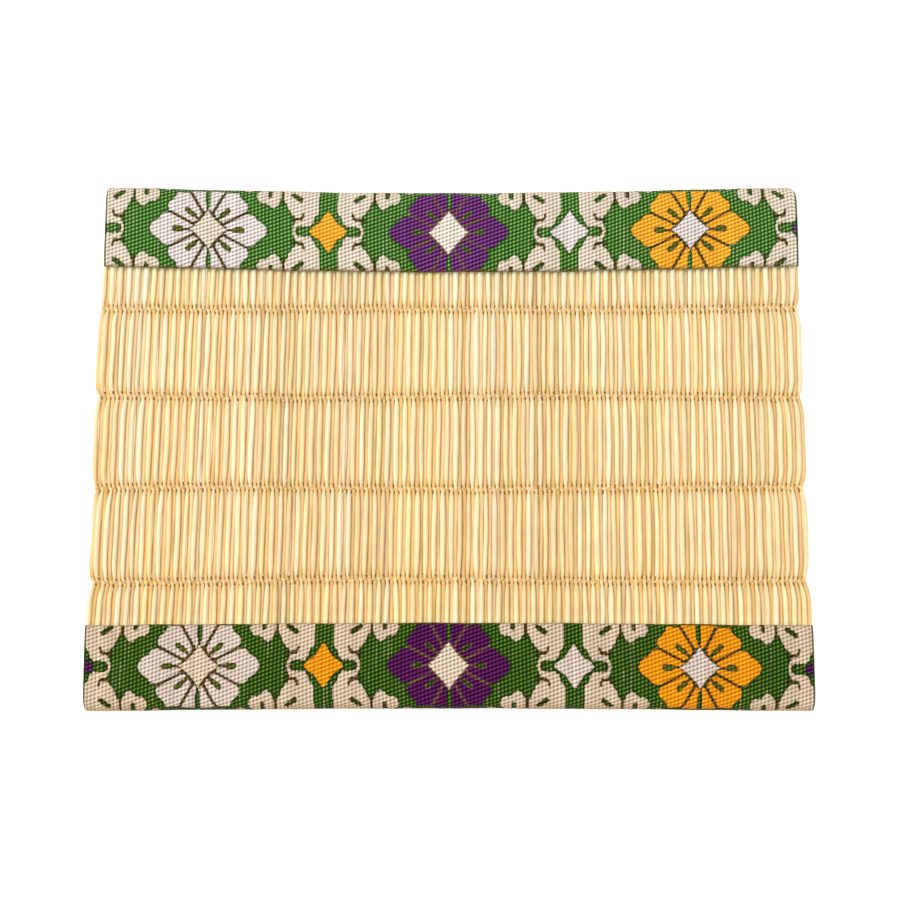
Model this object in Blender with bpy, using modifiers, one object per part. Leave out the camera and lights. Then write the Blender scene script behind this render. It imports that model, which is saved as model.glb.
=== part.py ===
"""Small tatami mat: a flat panel of woven rush with a brocade binding folded over each end.

Metres, +Z up. The origin is the centre of the mat's footprint, on the surface that it lies on.
The rushes run along Y, from the near binding (-Y) to the far one (+Y). The warp threads, and the
ridges between them, run along X.
"""

import math

import bmesh
import bpy

MM = 0.001

# Bindings: a strip of cloth, hemmed to twice its thickness and folded into a U over the panel's end
CLOTH = 1.0 * MM                  # thickness of one wall of the folded strip
MAT_HEIGHT = 4.4 * MM             # over both walls and the panel between them
FAR_ENDS = (-56.85 * MM, 57.6 * MM)       # each binding's cut ends, left and right
NEAR_ENDS = (-58.05 * MM, 58.05 * MM)
FOLD_Y = 43.6 * MM                # outermost line of either fold, at the mat's corners
FAR_SEAM_Y = 29.6 * MM            # inner edges of the top walls, at the mat's corners
NEAR_SEAM_Y = -30.05 * MM
UNDER_WALL_SHORTER = 1.2 * MM     # the wall underneath stops this much before the one on top
FAR_BOW = 0.95 * MM               # each end bends in towards the mat's middle by this much
NEAR_BOW = 0.4 * MM
BOW_FLATTENING = 1.5              # above 1, most of the bend is half way along the binding
BOW_FADING = 3                    # how fast the bend dies away from a seam to the mat's middle
WALL_CROWN = 0.2 * MM             # the top wall swells this much between its seam and its fold
CORNER_RADII = {                  # rounding of the corners seen from above, left then right
    "binding_far": (0.7 * MM, 1.4 * MM),
    "binding_near": (0.7 * MM, 0.4 * MM),
}
HEM_ROUNDING = 0.22 * MM
END_STEPS = (0.0, 0.5 * MM, 1.0 * MM, 1.6 * MM, 2.4 * MM)
MIDDLE_STEPS = 18
WALL_STEPS = 4
FOLD_STEPS = 6

# Rush panel
RUSHES = 166
PINCH_LINES = (-22.7 * MM, -7.45 * MM, 7.85 * MM, 22.95 * MM)
HALF_WIDTH_AT_PINCH = 57.4 * MM
SIDE_BULGE = 0.45 * MM            # the sides swell by this much between two pinches
HALF_WIDTH_IN_FAR_BINDING = 56.7 * MM
HALF_WIDTH_IN_NEAR_BINDING = 57.75 * MM
PINCHED_THICKNESS = 1.0 * MM
RIDGE_THICKNESS = 1.5 * MM
BOUND_THICKNESS = 1.8 * MM
RIB_HEIGHT = 0.15 * MM            # a rush on top stands this far over the middle, one beneath under it
RIDGE_SHOULDERS = (0.24, 0.76)    # where a ridge is full height, as shares of its width
LAST_SHOULDER = 1.5 * MM          # the end ridges are full height until here before the seam
SEAM_CLEARANCE = 0.35 * MM
END_CLEARANCE = 1.2 * MM          # from the panel's end to the centre of the fold
WARP_WANDER = 0.2 * MM            # the warp threads stray this much to either side, in long waves
WANDER_LENGTH = 13.0 * MM
WANDER_TURN = 2.1                 # each pinch line's waves start this many radians after the last one's

MID_HEIGHT = MAT_HEIGHT / 2
FOLD_RADIUS = (MAT_HEIGHT - CLOTH) / 2
FOLD_CENTRE_Y = FOLD_Y - CLOTH / 2 - FOLD_RADIUS

RUSH_COLOUR = (0.84, 0.62, 0.33, 1.0)
FAR_CLOTH_COLOUR = (0.10, 0.30, 0.09, 1.0)
NEAR_CLOTH_COLOUR = (0.08, 0.24, 0.06, 1.0)


def clear_scene():
    for thing in list(bpy.data.objects):
        bpy.data.objects.remove(thing, do_unlink=True)


def cloth_material(name, colour, roughness):
    material = bpy.data.materials.new(name)
    material.use_nodes = True
    shader = material.node_tree.nodes["Principled BSDF"]
    shader.inputs["Base Color"].default_value = colour
    shader.inputs["Roughness"].default_value = roughness
    shader.inputs["Metallic"].default_value = 0.0
    return material


def add_part(name, bm, material, collection):
    mesh = bpy.data.meshes.new(name)
    bm.to_mesh(mesh)
    bm.free()
    mesh.materials.append(material)
    part = bpy.data.objects.new(name, mesh)
    collection.objects.link(part)
    return part


def face_outwards(bm):
    bmesh.ops.recalc_face_normals(bm, faces=bm.faces)
    if bm.calc_volume(signed=True) < 0.0:
        bmesh.ops.reverse_faces(bm, faces=bm.faces)


def end_bow(x, y):
    """How far the mat's ends bend in at x, towards the middle: full from the seams outwards."""
    across = max(1.0 - (x / NEAR_ENDS[1]) ** 2, 0.0) ** BOW_FLATTENING
    share = min(abs(y) / FAR_SEAM_Y, 1.0) ** BOW_FADING
    depth = -FAR_BOW if y > 0.0 else NEAR_BOW
    return depth * share * across


def doubled_grid(bm, columns, rows):
    """Makes a grid and a copy joined to it round the rim; gives each point's column, row and side."""
    bmesh.ops.create_grid(bm, x_segments=columns, y_segments=rows, size=0.5)
    copied = bmesh.ops.extrude_face_region(bm, geom=bm.faces[:])["geom"]
    front = {element for element in copied if isinstance(element, bmesh.types.BMVert)}
    return [
        (
            point,
            round((point.co.x + 0.5) * columns),
            round((point.co.y + 0.5) * rows),
            1.0 if point in front else -1.0,
        )
        for point in bm.verts
    ]


def panel_rows():
    """Rows of the panel from near to far: y, half thickness, rib height, ridge number, half width."""
    pinched = PINCHED_THICKNESS / 2
    full = RIDGE_THICKNESS / 2
    bound = BOUND_THICKNESS / 2
    end_y = FOLD_CENTRE_Y - END_CLEARANCE
    swollen = HALF_WIDTH_AT_PINCH + SIDE_BULGE
    near_edge = NEAR_SEAM_Y + SEAM_CLEARANCE
    far_edge = FAR_SEAM_Y - SEAM_CLEARANCE

    rows = [
        (-end_y, bound, 0.0, 0, HALF_WIDTH_IN_NEAR_BINDING),
        (near_edge, bound, 0.0, 0, HALF_WIDTH_IN_NEAR_BINDING),
        (near_edge + LAST_SHOULDER, full, RIB_HEIGHT, 0, swollen),
    ]
    for ridge, (start, end) in enumerate(zip(PINCH_LINES, PINCH_LINES[1:]), 1):
        rows.append((start, pinched, 0.0, ridge, HALF_WIDTH_AT_PINCH))
        for share in RIDGE_SHOULDERS:
            rows.append((start + share * (end - start), full, RIB_HEIGHT, ridge, swollen))
    last = len(PINCH_LINES)
    rows += [
        (PINCH_LINES[-1], pinched, 0.0, last, HALF_WIDTH_AT_PINCH),
        (far_edge - LAST_SHOULDER, full, RIB_HEIGHT, last, HALF_WIDTH_AT_PINCH),
        (far_edge, bound, 0.0, last, HALF_WIDTH_IN_FAR_BINDING),
        (end_y, bound, 0.0, last, HALF_WIDTH_IN_FAR_BINDING),
    ]
    return rows


def warp_wander(x, ridge):
    """The warp threads, and the ridges beside them, don't run quite straight."""
    return WARP_WANDER * math.sin(x / WANDER_LENGTH + WANDER_TURN * ridge)


def rush_panel(collection):
    """One column for each rush: neighbours pass over and under, and swap at each pinch."""
    rows = panel_rows()
    bm = bmesh.new()
    for point, column, row, side in doubled_grid(bm, RUSHES, len(rows) - 1):
        y, half_thickness, rib, ridge, half_width = rows[row]
        x = (2.0 * column / RUSHES - 1.0) * half_width
        if NEAR_SEAM_Y + SEAM_CLEARANCE < y < FAR_SEAM_Y - SEAM_CLEARANCE:
            y += warp_wander(x, ridge)
        y += end_bow(x, y)
        over = 1.0 if (column + ridge) % 2 == 0 else -1.0
        point.co = (x, y, MID_HEIGHT + side * half_thickness + over * rib)
    face_outwards(bm)
    return add_part("rush_mat", bm, cloth_material("woven_rush", RUSH_COLOUR, 0.55), collection)


def stations(ends):
    """Places along a binding, closer together near its ends, where the corners are rounded."""
    left = [ends[0] + step for step in END_STEPS]
    right = [ends[1] - step for step in reversed(END_STEPS)]
    length = right[0] - left[-1]
    middle = [left[-1] + length * step / MIDDLE_STEPS for step in range(1, MIDDLE_STEPS)]
    return left + middle + right


def fold_section():
    """Middle line of the folded strip: (share of the wall from seam to fold, turn, wall)."""
    top = [(step / WALL_STEPS, 0.0, "top") for step in range(WALL_STEPS)]
    turn = [(1.0, math.pi * step / FOLD_STEPS, "fold") for step in range(FOLD_STEPS + 1)]
    under = [(1.0 - step / WALL_STEPS, math.pi, "under") for step in range(1, WALL_STEPS + 1)]
    return top + turn + under


def corner_inset(x, ends, radii):
    """How far the fold draws in at x, near the rounded corners."""
    side = 0 if x < 0.0 else 1
    radius = radii[side]
    into_corner = radius - abs(ends[side] - x)
    if into_corner <= 0.0:
        return 0.0
    return radius - math.sqrt(max(radius ** 2 - into_corner ** 2, 0.0))


def binding(name, seam_y, ends, colour, collection):
    """A sheet folded into a U over the panel's end: its middle line, with half its cloth either side."""
    places = stations(ends)
    section = fold_section()
    toward = math.copysign(1.0, seam_y)
    bm = bmesh.new()
    for point, column, row, side in doubled_grid(bm, len(places) - 1, len(section) - 1):
        x = places[column]
        share, turn, wall = section[row]
        radius = FOLD_RADIUS + side * CLOTH / 2
        fold_y = FOLD_CENTRE_Y - corner_inset(x, ends, CORNER_RADII[name])
        start_y = abs(seam_y) + (UNDER_WALL_SHORTER if wall == "under" else 0.0)
        crown = WALL_CROWN * math.sin(math.pi * share) if wall == "top" else 0.0
        y = toward * (start_y + share * (fold_y - start_y) + radius * math.sin(turn))
        point.co = (x, y + end_bow(x, y), MID_HEIGHT + radius * math.cos(turn) + crown)
    face_outwards(bm)
    part = add_part(name, bm, cloth_material(name + "_brocade", colour, 0.6), collection)

    hem = part.modifiers.new("rounded hems", "BEVEL")
    hem.width = HEM_ROUNDING
    hem.segments = 1
    hem.limit_method = "ANGLE"
    hem.angle_limit = math.radians(60.0)
    part.data.shade_smooth()
    part.data.set_sharp_from_angle(angle=math.radians(40.0))
    return part


def build():
    clear_scene()
    collection = bpy.data.collections.new("tatami_mat")
    bpy.context.scene.collection.children.link(collection)
    rush_panel(collection)
    binding("binding_far", FAR_SEAM_Y, FAR_ENDS, FAR_CLOTH_COLOUR, collection)
    binding("binding_near", NEAR_SEAM_Y, NEAR_ENDS, NEAR_CLOTH_COLOUR, collection)


build()
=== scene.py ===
"""Dresses the small tatami mat: separate woven rushes, warp threads and two brocade bindings.

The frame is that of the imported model: +Z up, the rushes along Y and the bindings along X.
Sizes are in millimetres and are multiplied by MM where a mesh is made. Pieces are made in a fixed
order, because each one draws from RNG.
"""

import math

import bpy
import numpy as np
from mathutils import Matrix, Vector


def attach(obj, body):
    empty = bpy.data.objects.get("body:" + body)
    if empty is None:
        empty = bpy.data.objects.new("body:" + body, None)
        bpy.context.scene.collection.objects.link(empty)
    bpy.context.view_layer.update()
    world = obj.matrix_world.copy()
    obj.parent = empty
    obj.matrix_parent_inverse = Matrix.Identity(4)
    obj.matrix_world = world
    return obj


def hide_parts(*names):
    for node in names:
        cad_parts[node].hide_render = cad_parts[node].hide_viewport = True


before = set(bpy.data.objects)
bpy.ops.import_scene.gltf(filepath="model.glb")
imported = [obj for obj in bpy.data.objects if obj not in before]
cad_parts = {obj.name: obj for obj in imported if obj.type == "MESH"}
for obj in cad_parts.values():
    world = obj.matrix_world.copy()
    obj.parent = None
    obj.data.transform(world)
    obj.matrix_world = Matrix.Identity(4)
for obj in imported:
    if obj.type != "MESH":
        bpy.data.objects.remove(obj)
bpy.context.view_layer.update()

MM = 0.001
RNG = np.random.default_rng(11)

# Sizes shared with the solids
CLOTH = 1.0
MAT_HEIGHT = 4.4
MID_HEIGHT = MAT_HEIGHT / 2
CUT_ENDS = {"far": (-56.85, 57.6), "near": (-58.05, 58.05)}
FOLD_Y = 43.6
SEAM_Y = {"far": 29.6, "near": 30.05}
UNDER_WALL_SHORTER = 1.2
BOW = {"far": 0.95, "near": 0.4}
BOW_FLATTENING = 1.5
BOW_FADING = 3
WALL_CROWN = 0.2
CORNER_RADII = {"far": (0.7, 1.4), "near": (0.7, 0.4)}
FOLD_RADIUS = (MAT_HEIGHT - CLOTH) / 2
FOLD_CENTRE_Y = FOLD_Y - CLOTH / 2 - FOLD_RADIUS

# Weave of the rush panel
RUSHES = 166
RUSH_SIDES = 10
PANEL_END_Y = FOLD_CENTRE_Y - 1.25
LAST_RUSH_X = 57.35
PINCH_LINES = np.array([-22.7, -7.45, 7.85, 22.95])
WARP_GAP = 0.95                   # between the two warp threads of a pinch
RIDGE_STEPS = 6
END_STEPS = 8
SEAM_APPROACH = 1.5               # the warp threads' waves die away over this much before a seam

# By distance from the middle of a pinch: half width of a rush on top and of one beneath, half
# height, and lift off mid height
PINCH_DISTANCE = (0.0, 0.24, 0.475, 0.75, 1.05, 1.5, 2.2, 3.0, 8.0)
OVER_HALF_WIDTH = (0.37, 0.28, 0.21, 0.25, 0.29, 0.34, 0.38, 0.40, 0.41)
UNDER_HALF_WIDTH = (0.37, 0.42, 0.24, 0.42, 0.47, 0.48, 0.48, 0.47, 0.47)
RUSH_HALF_HEIGHT = (0.26, 0.27, 0.28, 0.32, 0.36, 0.40, 0.43, 0.45, 0.47)
RUSH_LIFT = (0.0, 0.10, 0.17, 0.21, 0.24, 0.27, 0.29, 0.31, 0.33)
PINCH_REACH = PINCH_DISTANCE[-2]

# The panel's sides swell between two pinches: one value for each ridge, from near to far
LEFT_BULGES = np.array([0.75, 0.5, 0.5, 0.4, -0.25])
RIGHT_BULGES = np.array([0.75, 0.5, 0.6, 0.5, 0.4])
BULGE_RAMP = 0.7
BULGE_FADING = 9

# Sideways step of the rushes at a pinch, and how they draw together by twos beside it
CROSS_SHIFT = -0.16
SIDE_LEAN = 0.18
DRIFT_END_Y = 37.5
PAIRING = 0.06
PAIRING_LENGTH = 0.2

# How far single rushes stray from the rest
STRAY_LIMIT = 1.8                 # in standard deviations
THICKNESS_SPREAD = 0.09
TIGHTNESS = (-0.3, 0.32)
TIGHT_LENGTH = 0.15
LEAN_SPREAD = 0.06
SWAYS = ((0.05, 5.1), (0.03, 1.9), (0.03, 6.3))   # size and length: two sideways, one up and down
PINCH_STRAY = 0.1
PINCH_STRAY_LENGTH = 1.2

# Warp threads
WARP_WANDER = 0.2
WANDER_LENGTH = 13.0
WANDER_TURN = 2.1
WARP_RISE = 0.05
THREAD_SIDES = 6
THREAD_HALF_HEIGHT = 0.08
HALF_WIDTH_IN_GAP = 0.46          # the thread spreads between two rushes
HALF_WIDTH_AT_RUSH = 0.12
HALF_HOLD = 0.08                  # half of the straight stretch at each rush
GAP_DIP = 0.1
GAP_ZIGZAG = 0.06
GAP_STRAY = 0.08
THREAD_OVERHANG = 0.36
# Spread of the painted shade's strength from gap to gap
GAP_PAINTED_SHADES = (0.5, 1.6)

# Tints of the rushes, as shares of red, green and blue light; most of them are painted light and
# shade
RUSH_TINT = (0.985, 0.965, 0.985)
# Painted light on the parts of a rush that lie on top, and painted shade on the parts beneath
OVER_PAINTED_LIGHT = (1.0, 0.98, 0.99)
UNDER_PAINTED_SHADE = (0.90, 0.835, 0.72)
# Darker and yellower towards the near end
NEAR_END_TINT = (0.98, 0.93, 0.84)
# Painted shade near each pinch, reaching further on the rushes beneath
PINCH_PAINTED_SHADE = (0.92, 0.85, 0.71)
OVER_PINCH_SHADE_LENGTH = 1.0
UNDER_PINCH_SHADE_LENGTH = 1.4
# Painted shadow on some rushes beneath, where they dive at a pinch
UNDER_DIVE_SHADOW = (0.88, 0.80, 0.62)
DIVE_SHADOW_LENGTH = 2.0
# Painted shade on the flanks of each rush
FLANK_PAINTED_SHADE = (0.99, 0.95, 0.84)
FLANK_SHADE_POWER = 4
OWN_SHARE = 0.38                  # of a rush's colour that it keeps from end to end
PART_SHARE = 0.28                 # of it that changes from ridge to ridge
SHADE_SPREAD = 0.05
SHADE_LIMIT = 2.0
# Painted light on the rushes just inside each seam, against the binding's shadow
SEAM_PAINTED_LIGHT = 0.18
SEAM_PAINTED_LIGHT_LENGTH = 0.9
BRIGHTEST_RUSH = 0.97

# Brocade
WARP_PITCH = 0.6
PICK = 0.2167
UNDER_PICK = 2.0 * PICK
INNER_PICK = 1.6
COLUMN_STEP = 0.2
TEETH = 0.06
PATTERN_CENTRE = {"far": 6.45, "near": 6.97}
PATTERN_SKEW = {"far": 0.0, "near": 0.004}
PATTERN_MIRROR = 7.6
MOTIF_PITCH = 39.75
MOTIF_RAISE = 0.05
LINE_SINK = 0.02
TWILL_DIP = 0.035
HEM_PRESS = 0.3
HEM_PRESS_WIDTH = 0.9
END_ROUNDING = 0.35
END_THICKNESS = 0.4
END_TIP = (0.0, 0.1, 0.33, 0.66)  # columns on the rounding, as shares of it
SEAM_WOBBLE = 0.07
SEAM_WOBBLE_LENGTHS = (2.3, 7.1)
SEAM_WOBBLE_START = 2.0
SEAM_WOBBLE_FADING = 1.5

# Long waves in the cloth: size, length along the binding, length across it and start
THREAD_WAVE = (0.10, 17.0, 3.1, 0.0)
RIPPLES = ((0.05, 3.7, 5.0, 0.0), (0.04, 1.9, -2.3, 1.0))

# Layout of the maps that the baked textures use, as shares of a whole map
TUBE_MARGIN = 0.04                # as a share of a strip
TUBE_ROW_STEP = 0.49
TUBE_ROW_START = 0.005
TUBE_ROW_HEIGHT = 0.48
TUBE_CAPS_HEIGHT = 0.99
TUBE_CAP_RADIUS = 0.3             # as a share of a cap's room
CLOTH_LEFT = 0.01
CLOTH_WIDTH = 0.96
CLOTH_HALVES = (0.003, 0.503)
OUTER_FACE_HEIGHT = 0.46
INNER_FACE_START = 0.47
INNER_FACE_HEIGHT = 0.02
CLOTH_CAPS = ((0.985, 0.2), (0.985, 0.7))
CLOTH_CAP_RADIUS = 0.008


def srgb(red, green, blue):
    """Linear colour, with alpha, of an 8-bit one."""
    channels = np.array([red, green, blue]) / 255.0
    linear = np.where(channels <= 0.04045, channels / 12.92, ((channels + 0.055) / 1.055) ** 2.4)
    return np.append(linear, 1.0)


def mesh_piece(name, points, faces, material):
    """A smooth-shaded object from points in millimetres."""
    mesh = bpy.data.meshes.new(name)
    mesh.from_pydata((points * MM).tolist(), [], faces)
    mesh.materials.append(material)
    mesh.shade_smooth()
    piece = bpy.data.objects.new(name, mesh)
    bpy.context.scene.collection.objects.link(piece)
    return piece


def paint(piece, name, domain, colours):
    """Gives the piece a colour attribute."""
    layer = piece.data.color_attributes.new(name=name, type="FLOAT_COLOR", domain=domain)
    layer.data.foreach_set("color", np.ascontiguousarray(colours, np.float32).ravel())


def lay_out(piece, places):
    """Gives the piece the map that its baked textures use: one place for each face corner."""
    layer = piece.data.uv_layers.new(name="OFBake")
    layer.data.foreach_set("uv", np.ascontiguousarray(places, np.float32).ravel())


def end_bow(x, y):
    """The mat's ends bend in towards its middle, as in the solids."""
    across = (1.0 - (x / CUT_ENDS["near"][1]) ** 2).clip(0.0) ** BOW_FLATTENING
    share = np.minimum(np.abs(y) / SEAM_Y["far"], 1.0) ** BOW_FADING
    return np.where(y > 0.0, -BOW["far"], BOW["near"]) * share * across


def tube_faces(tubes, rings, sides):
    """Quads of tubes whose points are ordered tube, ring, side, and then two caps for each tube."""
    tube, ring, side = np.meshgrid(
        np.arange(tubes), np.arange(rings - 1), np.arange(sides), indexing="ij"
    )
    turn = (side + 1) % sides
    base = (tube * rings + ring) * sides
    quads = np.stack([base + side, base + turn, base + sides + turn, base + sides + side], axis=-1)
    faces = quads.reshape(-1, 4).tolist()
    for number in range(tubes):
        first = number * rings * sides
        last = first + (rings - 1) * sides
        faces.append(list(range(first, first + sides))[::-1])
        faces.append(list(range(last, last + sides)))
    return faces


def tube_places(tubes, rings, sides):
    """Map of such tubes: flat strips side by side in two rows, and a line of caps above them."""
    tube, ring, side = np.meshgrid(
        np.arange(tubes), np.arange(rings - 1), np.arange(sides), indexing="ij"
    )
    in_row = (tubes + 1) // 2
    corners = np.array([(0, 0), (0, 1), (1, 1), (1, 0)])
    width = 1.0 - 2.0 * TUBE_MARGIN
    round_tube = TUBE_MARGIN + width * (side[..., None] + corners[:, 1]) / sides
    along = TUBE_ROW_HEIGHT * (ring[..., None] + corners[:, 0]) / (rings - 1)
    row_start = TUBE_ROW_START + TUBE_ROW_STEP * (tube // in_row)[..., None]
    places = np.stack([
        ((tube % in_row)[..., None] + round_tube) / in_row, row_start + along
    ], axis=-1).reshape(-1, 2)
    angle = 2.0 * np.pi * np.arange(sides) / sides
    room = 1.0 / (2 * tubes)
    radius = TUBE_CAP_RADIUS * room
    centre = (np.arange(2 * tubes)[:, None] + 0.5) * room
    caps = np.stack([
        centre + radius * np.cos(angle), TUBE_CAPS_HEIGHT + radius * np.sin(angle) + 0.0 * centre
    ], axis=-1).reshape(-1, 2)
    return np.concatenate([places, caps])


def rush_stations():
    """Places along a rush, closest together where the warp threads pinch it."""
    beside = np.array(PINCH_DISTANCE[:-1])
    places = [line + side * beside for line in PINCH_LINES for side in (-1.0, 1.0)]
    for start, end in zip(PINCH_LINES, PINCH_LINES[1:]):
        places.append(np.linspace(start + PINCH_REACH, end - PINCH_REACH, RIDGE_STEPS))
    places.append(np.linspace(PINCH_LINES[-1] + PINCH_REACH, PANEL_END_Y, END_STEPS))
    places.append(np.linspace(-PANEL_END_Y, PINCH_LINES[0] - PINCH_REACH, END_STEPS))
    return np.unique(np.concatenate(places).round(4))


def weave():
    """Lines of all the rushes, as arrays with a row for each rush and a column for each station."""
    y = rush_stations()
    from_lines = np.abs(y[None, :] - PINCH_LINES[:, None])
    pinch = from_lines.argmin(axis=0)
    distance = from_lines.min(axis=0)
    nearest = PINCH_LINES[pinch]
    ridge = np.searchsorted(PINCH_LINES, y)
    rush = np.arange(RUSHES)[:, None]
    over = np.where((rush + ridge[None, :]) % 2 == 0, 1.0, -1.0)
    share = 2.0 * (rush + 0.5) / RUSHES - 1.0

    # Thickness
    thick = RNG.standard_normal((RUSHES, 1)).clip(-STRAY_LIMIT, STRAY_LIMIT)
    thick = 1.0 + THICKNESS_SPREAD * thick
    half_width = thick * np.where(
        over > 0.0,
        np.interp(distance, PINCH_DISTANCE, OVER_HALF_WIDTH)[None, :],
        np.interp(distance, PINCH_DISTANCE, UNDER_HALF_WIDTH)[None, :],
    )
    from_thread = distance - WARP_GAP / 2
    tightness = RNG.uniform(*TIGHTNESS, (RUSHES, len(PINCH_LINES)))[:, pinch]
    half_width = half_width * (1.0 + tightness * np.exp(-(from_thread / TIGHT_LENGTH) ** 2))
    half_height = np.interp(distance, PINCH_DISTANCE, RUSH_HALF_HEIGHT)[None, :] * thick ** 0.5
    lift = np.interp(distance, PINCH_DISTANCE, RUSH_LIFT)[None, :]

    # Swollen sides
    bulge = np.where(share < 0.0, LEFT_BULGES[ridge], RIGHT_BULGES[ridge])
    bulge = bulge * np.clip(distance / PINCH_REACH, 0.0, 1.0) ** BULGE_RAMP
    x = share * LAST_RUSH_X + np.sign(share) * np.abs(share) ** BULGE_FADING * bulge

    # Rushes step sideways where they cross at a pinch, and drift back along the ridge
    edges = np.concatenate([[-DRIFT_END_Y], PINCH_LINES, [DRIFT_END_Y]])
    start, end = edges[ridge], edges[ridge + 1]
    along = np.clip((y - start - WARP_GAP / 2) / (end - start - WARP_GAP), 0.0, 1.0)
    step = np.where(distance < WARP_GAP / 2, (y - nearest) / WARP_GAP, 0.5 - along)
    phase = RNG.uniform(0.0, 2.0 * np.pi, (RUSHES, len(SWAYS)))
    lean = LEAN_SPREAD * RNG.standard_normal((RUSHES, len(PINCH_LINES) + 1))[:, ridge]
    x = x + (CROSS_SHIFT + SIDE_LEAN * share) * step
    beside_pinch = np.exp(-(from_thread / PAIRING_LENGTH) ** 2) * np.sign(y - nearest)
    x = x + PAIRING * np.where(rush % 2 == 0, 1.0, -1.0) * beside_pinch
    x = x + lean * np.sin(np.pi * along)
    sways = [
        size * np.sin(y / length + phase[:, number:number + 1])
        for number, (size, length) in enumerate(SWAYS)
    ]
    x = x + sways[0] + sways[1]
    z = MID_HEIGHT + over * lift + sways[2]

    # The warp threads wander in long waves, and each rush strays a little where they pinch it
    seam = np.where(y > 0.0, SEAM_Y["far"], SEAM_Y["near"])
    bound = np.clip((np.abs(y) - seam + SEAM_APPROACH) / SEAM_APPROACH, 0.0, 1.0)
    line = np.interp(y, PINCH_LINES, np.arange(1.0, len(PINCH_LINES) + 1.0))
    wander = WARP_WANDER * np.sin(x / WANDER_LENGTH + WANDER_TURN * line)
    placed_y = y + end_bow(x, y) + wander * (1.0 - bound)
    stray = RNG.standard_normal((RUSHES, len(PINCH_LINES))).clip(-STRAY_LIMIT, STRAY_LIMIT)
    stray = PINCH_STRAY * stray[:, pinch]
    placed_y = placed_y + stray * np.exp(-((distance / PINCH_STRAY_LENGTH) ** 2))
    return {
        "x": x, "y": placed_y, "z": z, "over": over, "ridge": ridge, "along": y,
        "half_width": half_width, "half_height": half_height,
    }


def tinted(tones, tint, strength):
    """Multiplies colours by a tint, in full where strength is 1 and not at all where it is 0."""
    tones[..., :3] *= 1.0 - strength * (1.0 - np.array(tint))


def rush_tones(ridge, over, y):
    """Colour of each rush at each station: straw, with some paler, browner and greener ones, painted
    shade on its parts beneath and near the pinches, and painted light on its parts on top and beside
    the seams.
    """
    kinds = np.array([
        srgb(253, 242, 214), srgb(250, 232, 182), srgb(242, 212, 150), srgb(248, 218, 172),
        srgb(240, 224, 160),
    ])
    odds = (0.36, 0.38, 0.10, 0.08, 0.08)
    own = kinds[RNG.choice(len(kinds), size=RUSHES, p=odds)]
    parts = kinds[RNG.choice(len(kinds), size=(RUSHES, len(PINCH_LINES) + 1), p=odds)]
    common = (1.0 - OWN_SHARE - PART_SHARE) * kinds[1]
    tones = (OWN_SHARE * own[:, None, :] + PART_SHARE * parts + common)[:, ridge, :]
    shades = RNG.standard_normal((RUSHES, 1, 1)).clip(-SHADE_LIMIT, SHADE_LIMIT)
    tones[..., :3] *= 1.0 + SHADE_SPREAD * shades
    # Painted light on the parts on top and painted shade on the parts beneath
    tones[..., :3] *= RUSH_TINT * np.where(over[..., None] > 0.0, OVER_PAINTED_LIGHT, UNDER_PAINTED_SHADE)

    distance = np.abs(y[None, :] - PINCH_LINES[:, None]).min(axis=0)
    # Painted shade near the pinches
    pinch_shade_length = np.where(over > 0.0, OVER_PINCH_SHADE_LENGTH, UNDER_PINCH_SHADE_LENGTH)
    tinted(tones, PINCH_PAINTED_SHADE, np.exp(-((distance / pinch_shade_length) ** 2))[..., None])
    # Painted shadow on some rushes beneath, where they dive at a pinch
    dive_shadow = RNG.uniform(0.0, 1.0, (RUSHES, len(PINCH_LINES) + 1))[:, ridge] * (over < 0.0)
    tinted(tones, UNDER_DIVE_SHADOW, (dive_shadow * np.exp(-((distance / DIVE_SHADOW_LENGTH) ** 2)))[..., None])
    # Darker and yellower towards the near end
    tinted(tones, NEAR_END_TINT, np.interp(y, (-SEAM_Y["near"], SEAM_Y["far"]), (1.0, 0.0))[:, None])

    # Painted light on the rushes just inside each seam
    seam = np.where(y > 0.0, SEAM_Y["far"], SEAM_Y["near"])
    to_seam = (np.abs(y) - seam).clip(None, 0.0)
    seam_light = np.exp(-(to_seam / SEAM_PAINTED_LIGHT_LENGTH) ** 2)
    tones[..., :3] *= 1.0 + SEAM_PAINTED_LIGHT * seam_light[:, None]
    return tones.clip(0.0, BRIGHTEST_RUSH)


def rush_pieces(lines, material):
    """Two pieces: the rushes that lie over the nearest ridge, and their neighbours."""
    angle = 2.0 * np.pi * np.arange(RUSH_SIDES) / RUSH_SIDES
    points = np.stack([
        lines["x"][..., None] + lines["half_width"][..., None] * np.cos(angle),
        lines["y"][..., None] + 0.0 * angle,
        lines["z"][..., None] - lines["half_height"][..., None] * np.sin(angle),
    ], axis=-1)
    tones = rush_tones(lines["ridge"], lines["over"], lines["along"])[:, :, None, :]
    # Painted shade on the flanks of each rush
    flank_shade = 1.0 - (np.abs(np.cos(angle)) ** FLANK_SHADE_POWER)[:, None] * (1.0 - np.array(FLANK_PAINTED_SHADE))
    tones = tones * np.concatenate([flank_shade, np.ones((RUSH_SIDES, 1))], axis=1)
    pieces = []
    for first, name in enumerate(("rushes_even", "rushes_odd")):
        chosen = points[first::2]
        tubes, rings = chosen.shape[:2]
        piece = mesh_piece(
            name, chosen.reshape(-1, 3), tube_faces(tubes, rings, RUSH_SIDES), material
        )
        paint(piece, "Tone", "POINT", tones[first::2])
        lay_out(piece, tube_places(tubes, rings, RUSH_SIDES))
        pieces.append(piece)
    return pieces


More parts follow.
